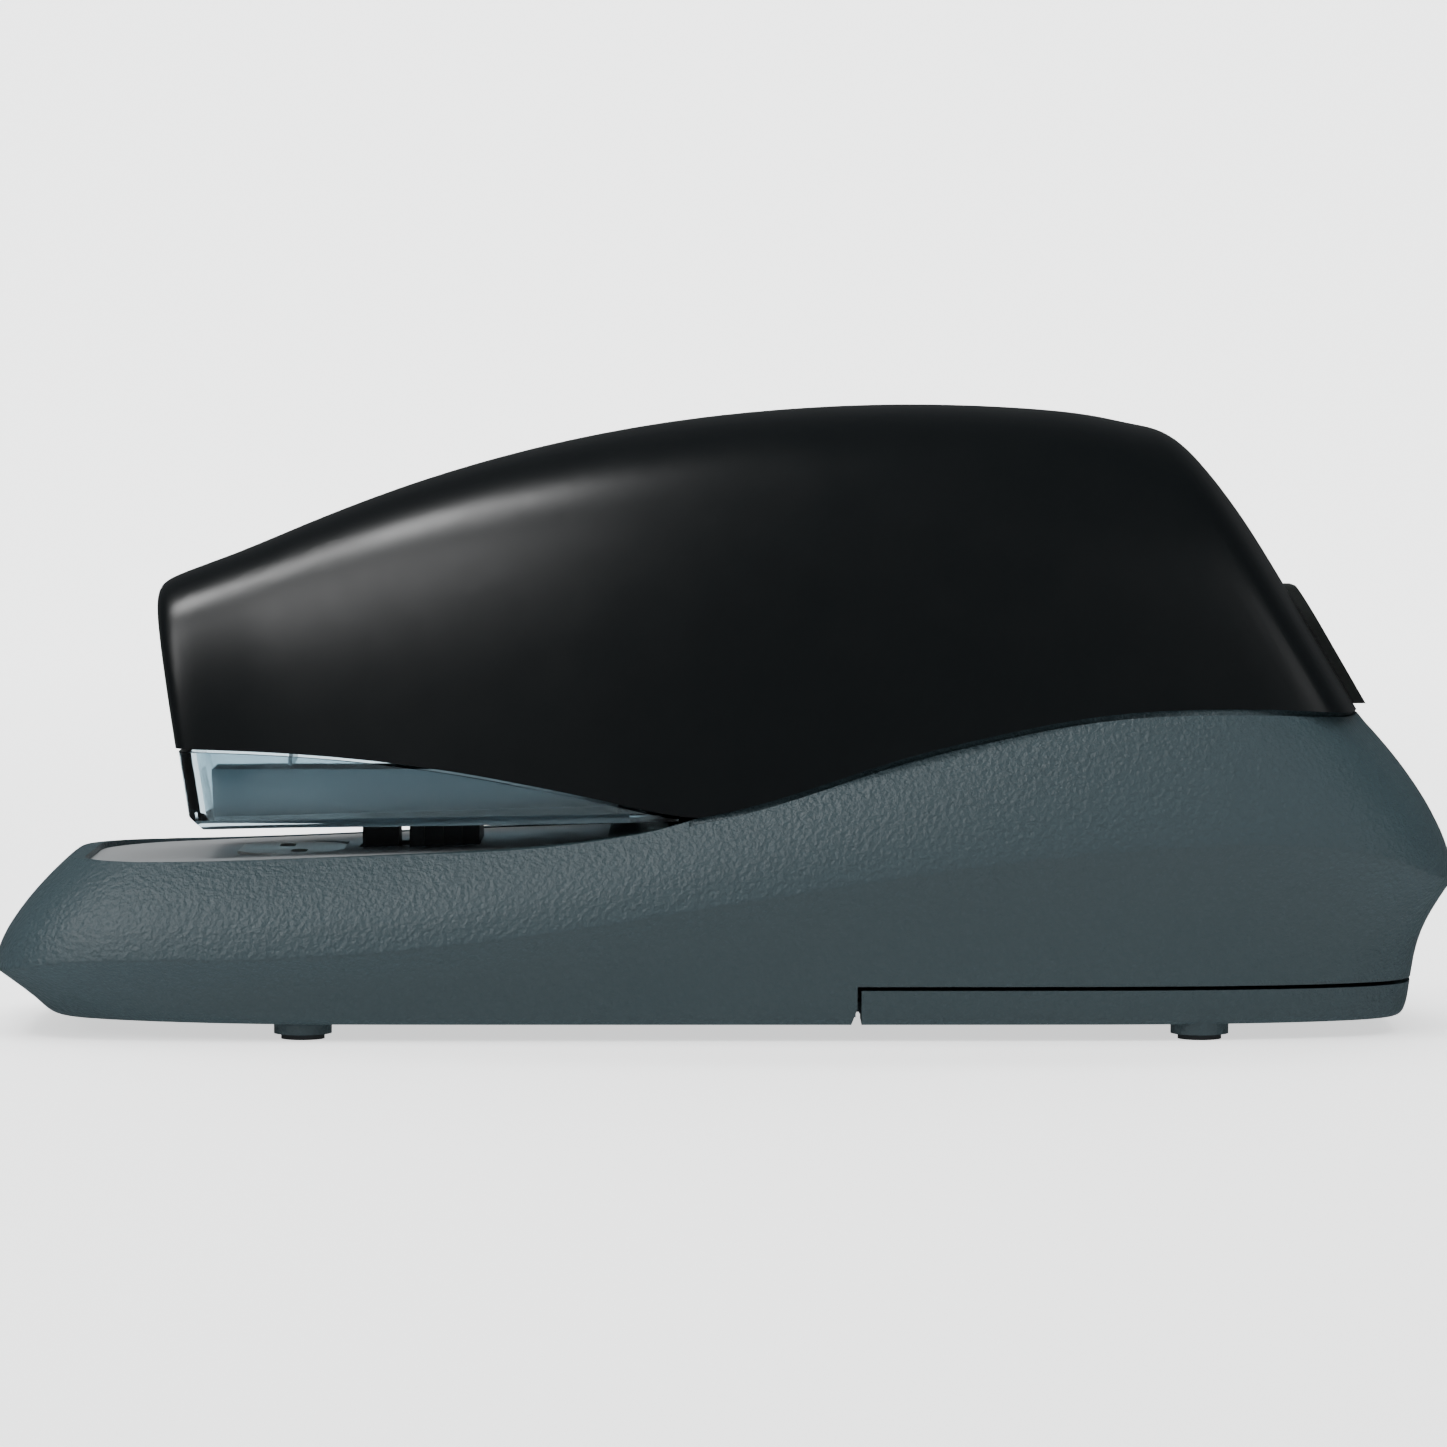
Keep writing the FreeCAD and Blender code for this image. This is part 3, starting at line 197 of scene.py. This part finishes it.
# %% [markdown]
# The lower housing is ABS moulded in a spark eroded steel tool, which gives it a fine leather
# grain. A cell texture with soft walls makes the grain, and a slower noise varies the gloss.
# The cells are drawn 0.85 mm wide, coarser than the real grain, so that they show.

# %% Grained slate ABS
def grained_abs(name, colour, roughness, grain_mm, depth):
    finish, tree, shader, place = new_finish(name)
    coarse = per_metre(grain_mm)
    cells = add(tree, "ShaderNodeTexVoronoi", {"Vector": place}, feature="SMOOTH_F1", Scale=coarse)
    cells.inputs["Smoothness"].default_value = 0.6
    fine = add(tree, "ShaderNodeTexNoise", {"Vector": place}, Scale=per_metre(grain_mm * 0.45), Detail=3.0)
    heights = {0: cells.outputs["Distance"], 1: fine.outputs["Fac"]}
    both = add(tree, "ShaderNodeMath", heights, operation="ADD")
    bump = add(tree, "ShaderNodeBump", {"Height": both.outputs[0]}, Distance=depth * MM, Strength=0.9)
    tree.links.new(bump.outputs[0], shader.inputs["Normal"])
    cloud = add(tree, "ShaderNodeTexNoise", {"Vector": place}, Scale=per_metre(18), Detail=4.0)
    spread = {"To_Min": roughness - 0.05, "To_Max": roughness + 0.07}
    gloss = add(tree, "ShaderNodeMapRange", {"Value": cloud.outputs["Fac"]}, **spread)
    tree.links.new(gloss.outputs[0], shader.inputs["Roughness"])
    light = linear(colour)
    valley = [v * 0.86 for v in light[:3]] + [1]
    tint = add(tree, "ShaderNodeMixRGB", {"Fac": both.outputs[0]}, Color1=light, Color2=valley)
    tree.links.new(tint.outputs[0], shader.inputs["Base Color"])
    shader.inputs["IOR"].default_value = 1.54
    return finish


slate_abs = grained_abs("slate_abs_leather_grain", "#303f44", 0.42, 0.85, 0.17)
print("finish made:", slate_abs.name)

# %% [markdown]
# The cover is black ABS from a polished tool, so it has a satin gloss with only a trace of
# unevenness. A slow noise varies the gloss and a fine one ripples the surface, which keeps it
# from looking like glass.

# %% Satin black ABS
def satin_abs(name, colour, roughness, haze_mm=9.0, bump_mm=0.004):
    finish, tree, shader, place = new_finish(name)
    haze = add(tree, "ShaderNodeTexNoise", {"Vector": place}, Scale=per_metre(haze_mm), Detail=6.0)
    spread = {"To_Min": roughness - 0.04, "To_Max": roughness + 0.06}
    gloss = add(tree, "ShaderNodeMapRange", {"Value": haze.outputs["Fac"]}, **spread)
    tree.links.new(gloss.outputs[0], shader.inputs["Roughness"])
    orange = add(tree, "ShaderNodeTexNoise", {"Vector": place}, Scale=per_metre(0.7), Detail=2.0)
    ripple = {"Height": orange.outputs["Fac"]}
    bump = add(tree, "ShaderNodeBump", ripple, Distance=bump_mm * MM, Strength=0.5)
    tree.links.new(bump.outputs[0], shader.inputs["Normal"])
    shader.inputs["Base Color"].default_value = linear(colour)
    shader.inputs["IOR"].default_value = 1.54
    return finish


black_abs = satin_abs("black_abs_satin", "#040709", 0.32)
button_resin = grained_abs("button_resin_fine_matt", "#171a19", 0.42, 0.45, 0.03)
dark_resin = grained_abs("dark_resin_moulded", "#101415", 0.40, 0.5, 0.03)
inner_resin = grained_abs("grey_resin_moulded", "#2b3438", 0.45, 0.6, 0.03)
print("finish made:", black_abs.name, "and three moulded resins")

# %% [markdown]
# The window of the staple drawer is clear polycarbonate tinted with a smoke dye. The light
# passes through it, bends, and comes out dimmer and a little blue.

# %% Smoked polycarbonate
def smoked_window(name):
    finish, tree, shader, place = new_finish(name)
    shader.inputs["Base Color"].default_value = linear("#a9bcc4")
    shader.inputs["Transmission Weight"].default_value = 1.0
    shader.inputs["Roughness"].default_value = 0.05
    shader.inputs["IOR"].default_value = 1.585
    haze = add(tree, "ShaderNodeTexNoise", {"Vector": place}, Scale=per_metre(6), Detail=4.0)
    bump = add(tree, "ShaderNodeBump", {"Height": haze.outputs["Fac"]}, Distance=0.01 * MM, Strength=0.4)
    tree.links.new(bump.outputs[0], shader.inputs["Normal"])
    return finish


smoke = smoked_window("polycarbonate_smoke")
print("finish made:", smoke.name)

# %% [markdown]
# Pressed and machined metals differ in how their surface was cut. Rolling and brushing leave
# long fine lines, so the noise is stretched along one direction before it drives the bump.

# %% Metals
ALONG_X = (0.04, 1, 1)
ACROSS = (1, 0.05, 1)


def worked_metal(name, colour, roughness, line_mm, stretch=ALONG_X, metallic=1.0):
    finish, tree, shader, place = new_finish(name)
    squeezed = add(tree, "ShaderNodeMapping", {"Vector": place}, Scale=stretch)
    along = {"Vector": squeezed.outputs[0]}
    lines = add(tree, "ShaderNodeTexNoise", along, Scale=per_metre(line_mm), Detail=5.0)
    bump = add(tree, "ShaderNodeBump", {"Height": lines.outputs["Fac"]}, Distance=0.004 * MM, Strength=0.6)
    tree.links.new(bump.outputs[0], shader.inputs["Normal"])
    spread = {"To_Min": roughness - 0.06, "To_Max": roughness + 0.1}
    gloss = add(tree, "ShaderNodeMapRange", {"Value": lines.outputs["Fac"]}, **spread)
    tree.links.new(gloss.outputs[0], shader.inputs["Roughness"])
    shader.inputs["Base Color"].default_value = linear(colour)
    shader.inputs["Metallic"].default_value = metallic
    return finish


deck_metal = worked_metal("deck_aluminium_satin", "#a5a8aa", 0.5, 0.5, metallic=0.55)
anvil_steel = worked_metal("anvil_nickel_plate", "#b4b4b1", 0.34, 0.4, ACROSS, metallic=0.6)
zinc_steel = worked_metal("zinc_plated_pressing", "#8f979b", 0.36, 0.6)
spring_steel = worked_metal("drawn_spring_wire", "#8f9396", 0.28, 0.3)
motor_steel = worked_metal("motor_can_plated", "#9a9da0", 0.3, 0.4, ACROSS)
brass = worked_metal("brass_turned", "#b8964a", 0.25, 0.3, ACROSS)
nickel_strip = worked_metal("nickel_strip", "#c9c7c0", 0.25, 0.4)
staple_wire = worked_metal("staple_wire_bright", "#cfd2d4", 0.2, 0.25, ACROSS)
print("eight metals made")

# %% [markdown]
# The rest is rubber for the feet, natural acetal for the gears, film sleeves on the cells,
# lacquered laminate for the board and epoxy for its chips. Each has its own gloss and colour.

# %% Rubber, acetal, cells and board
rubber = grained_abs("nitrile_rubber_matt", "#1f2327", 0.78, 0.3, 0.02)
acetal = satin_abs("acetal_natural", "#ddd8ca", 0.38)
cell_jacket = satin_abs("cell_sleeve_film", "#2b2d30", 0.25)
board_green = satin_abs("board_lacquer_green", "#1c5236", 0.3)
chip_black = grained_abs("chip_epoxy", "#16181a", 0.55, 0.3, 0.02)
print("materials so far", len(bpy.data.materials))

# %% [markdown]
# Under its green lacquer the board has copper tracks, which show as lighter lines. The thin
# joints of a brick pattern stand for them here. Real tracks are not laid so evenly.

# %% Board tracks
tree = board_green.node_tree
on_board = {"Vector": tree.nodes["Texture Coordinate"].outputs["Object"]}
tracks = add(tree, "ShaderNodeTexBrick", on_board, Scale=per_metre(9), offset=0.35)
tracks.inputs["Mortar Size"].default_value = 0.03
for lacquer in ("Color1", "Color2"):
    tracks.inputs[lacquer].default_value = linear("#1c5236")
tracks.inputs["Mortar"].default_value = linear("#3f8a5c")
tree.links.new(tracks.outputs["Color"], tree.nodes["Principled BSDF"].inputs["Base Color"])
print("board tracks drawn")

# %% [markdown]
# A cell's film sleeve is two coloured, and carries no lettering here. One step along the body
# splits the row of cells into a dark and a silver band.

# %% Cell sleeves
SLEEVE_SPLIT = 60 * MM
tree = cell_jacket.node_tree
split = add(tree, "ShaderNodeSeparateXYZ", {0: tree.nodes["Texture Coordinate"].outputs["Object"]})
band = add(tree, "ShaderNodeMath", {0: split.outputs["X"]}, operation="GREATER_THAN")
band.inputs[1].default_value = SLEEVE_SPLIT
two_tone = {"Color1": linear("#2b2d30"), "Color2": linear("#8d9296")}
sleeve = add(tree, "ShaderNodeMixRGB", {"Fac": band.outputs[0]}, **two_tone)
tree.links.new(sleeve.outputs[0], tree.nodes["Principled BSDF"].inputs["Base Color"])
print("cell sleeves drawn")

# %% [markdown]
# Each measured part names the material slot that it is made of. Every slot has one finish, so
# a part that is moulded from the same resin as its neighbour looks the same.

# %% Put the finishes on
FINISHES = {
    "slate_abs": slate_abs, "black_abs": black_abs, "smoke_window": smoke,
    "deck_metal": deck_metal, "anvil_steel": anvil_steel, "dark_resin": dark_resin,
    "button_resin": button_resin, "foot_rubber": rubber, "zinc_steel": zinc_steel,
    "spring_steel": spring_steel, "gear_acetal": acetal, "brass_gear": brass,
    "motor_steel": motor_steel, "cell_jacket": cell_jacket, "nickel_strip": nickel_strip,
    "board_green": board_green, "chip_black": chip_black, "staple_wire": staple_wire,
    "inner_resin": inner_resin,
}
SLOT_OF = {part["node"]: part["material_slot"] for part in frame["record"]["subparts"]}
for name, piece in nodes.items():
    piece.data.materials.clear()
    piece.data.materials.append(FINISHES[SLOT_OF[name]])
print("finished parts", len(nodes))

# %% [markdown]
# Springs are wound from drawn wire. A round section is carried along a helix that climbs evenly
# from one end to the other. The measured parts hold a plain sleeve in its place, so the wound
# piece is made to the same length and the same outer diameter.

# %% Wind a spring
AROUND = 8       # corners of the wire's section
PER_TURN = 28    # sections in one turn


def wound_between(name, low, high, axis, wire, turns, end_radii=None):
    """A helix of wire in the box between two corners, along axis 0, 1 or 2."""
    mid = (low + high) / 2
    u, v = [k for k in range(3) if k != axis]
    outer = (high[u] - low[u]) / 2 - wire / 2
    r0, r1 = end_radii or (outer, outer)
    length = high[axis] - low[axis] - wire
    steps = int(turns * PER_TURN)
    verts, faces = [], []
    for k in range(steps + 1):
        share = k / steps
        turn = 2 * math.pi * turns * share
        radius = r0 + (r1 - r0) * share
        for j in range(AROUND):
            b = 2 * math.pi * j / AROUND
            reach = radius + wire / 2 * math.cos(b)
            spot = [0.0, 0.0, 0.0]
            spot[u] = mid[u] + math.cos(turn) * reach
            spot[v] = mid[v] + math.sin(turn) * reach
            spot[axis] = low[axis] + wire / 2 + length * share
            spot[axis] += wire / 2 * math.sin(b)
            verts.append(spot)
    for k in range(steps):
        for j in range(AROUND):
            a, b = k * AROUND + j, k * AROUND + (j + 1) % AROUND
            faces.append((a, b, b + AROUND, a + AROUND))
    faces.append(tuple(range(AROUND)))
    faces.append(tuple(steps * AROUND + j for j in reversed(range(AROUND))))
    return mesh_piece(name, verts, faces)


def dress(piece, body, finish, node):
    """Give a piece its finish, and let it move with its body in place of the measured node."""
    piece.data.materials.append(finish)
    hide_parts(node)
    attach(piece, body)
    return piece

# %% [markdown]
# Three springs are wound this way. The button's and the pusher's each get a mesh of their own.
# The pusher's space closes to less than its wire takes up, so a real coil would stop the pusher
# sooner. The arm spring keeps its rest length.

# %% Arm, button and pusher springs
for node, axis, wire_mm, turns, body in (
    ("arm_spring", 2, 0.7, 9, "base"),
    ("button_spring", 0, 0.6, 10, "base"),
    ("pusher_spring", 0, 0.45, 11, "drawer"),
):
    low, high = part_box(node)
    coil = wound_between(node + "_wound", low, high, axis, wire_mm * MM, turns)
    dress(coil, body, spring_steel, node)
    if node == "button_spring":
        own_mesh(coil)
    if node == "pusher_spring":
        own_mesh(coil)
print("springs wound")

# %% [markdown]
# The cell springs are cones of nickel plated wire. Each stands on its contact plate and
# presses on the flat end of one cell, so they point both ways, cell by cell.

# %% Cell springs
low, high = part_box("battery_springs")
cells_low, cells_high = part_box("battery_cells")
CELLS = 4
CELL_WIDE = 14.2 * MM
pitch = (cells_high.y - cells_low.y - CELL_WIDE) / (CELLS - 1)
cell_z = (cells_low.z + cells_high.z) / 2
CONE_WIRE = 0.45 * MM
CONE_TURNS = 3
NARROW, WIDE = 2.6 * MM, 4.2 * MM
for k in range(CELLS):
    y = cells_low.y + CELL_WIDE / 2 + pitch * k
    at_rear = k % 2 == 0
    x0, x1 = (cells_high.x, high.x) if at_rear else (low.x, cells_low.x)
    corner = Vector((x0, y - WIDE, cell_z - WIDE))
    far = Vector((x1, y + WIDE, cell_z + WIDE))
    radii = (NARROW - CONE_WIRE / 2, WIDE - CONE_WIRE / 2)
    if not at_rear:
        radii = radii[::-1]
    cone = wound_between(f"cell_spring_{k}", corner, far, 0, CONE_WIRE, CONE_TURNS, radii)
    dress(cone, "base", nickel_strip, "battery_springs")
print("cell springs", CELLS)

# %% [markdown]
# A strip of staples is wire laid side by side, glued, cut and pressed into a row of arches.
# One arch is made with round wire shoulders, then repeated every half millimetre.

# %% Staple strip
low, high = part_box("staple_strip")
WIRE = 0.5 * MM
count = int(round((high.x - low.x) / WIRE))
half = (high.y - low.y) / 2
BEND = 0.55 * MM
left, roof = -half + WIRE / 2, high.z - WIRE / 2
path = [(left, low.z)]
for k in range(5):
    a = math.pi / 8 * k
    path.append((left + BEND * (1 - math.cos(a)), roof - BEND * (1 - math.sin(a))))
path += [(-y, z) for y, z in reversed(path)]
SIDES = 8
LOOSE = 0.99     # the share of its thickness that a wire has, so that neighbours do not touch
section = []
for k in range(SIDES):
    a = math.pi / 4 * (k + 0.5)
    section.append((math.cos(a), math.sin(a)))
radius = WIRE / 2 * LOOSE
verts, faces = [], []
for staple in range(count):
    x = low.x + WIRE * (staple + 0.5)
    start = len(verts)
    for k, (y, z) in enumerate(path):
        before, after = path[max(k - 1, 0)], path[min(k + 1, len(path) - 1)]
        dy, dz = after[0] - before[0], after[1] - before[1]
        size = math.hypot(dy, dz)
        ny, nz = -dz / size, dy / size
        for across, out in section:
            verts.append((x + radius * across, y + ny * radius * out, z + nz * radius * out))
    for k in range(len(path) - 1):
        for j in range(SIDES):
            a, b = start + k * SIDES + j, start + k * SIDES + (j + 1) % SIDES
            faces.append((a, b, b + SIDES, a + SIDES))
    faces.append(tuple(start + j for j in reversed(range(SIDES))))
    faces.append(tuple(start + (len(path) - 1) * SIDES + j for j in range(SIDES)))
strip = mesh_piece("staple_arches", verts, faces)
dress(strip, "drawer", staple_wire, "staple_strip")
print("staples in the strip", count)
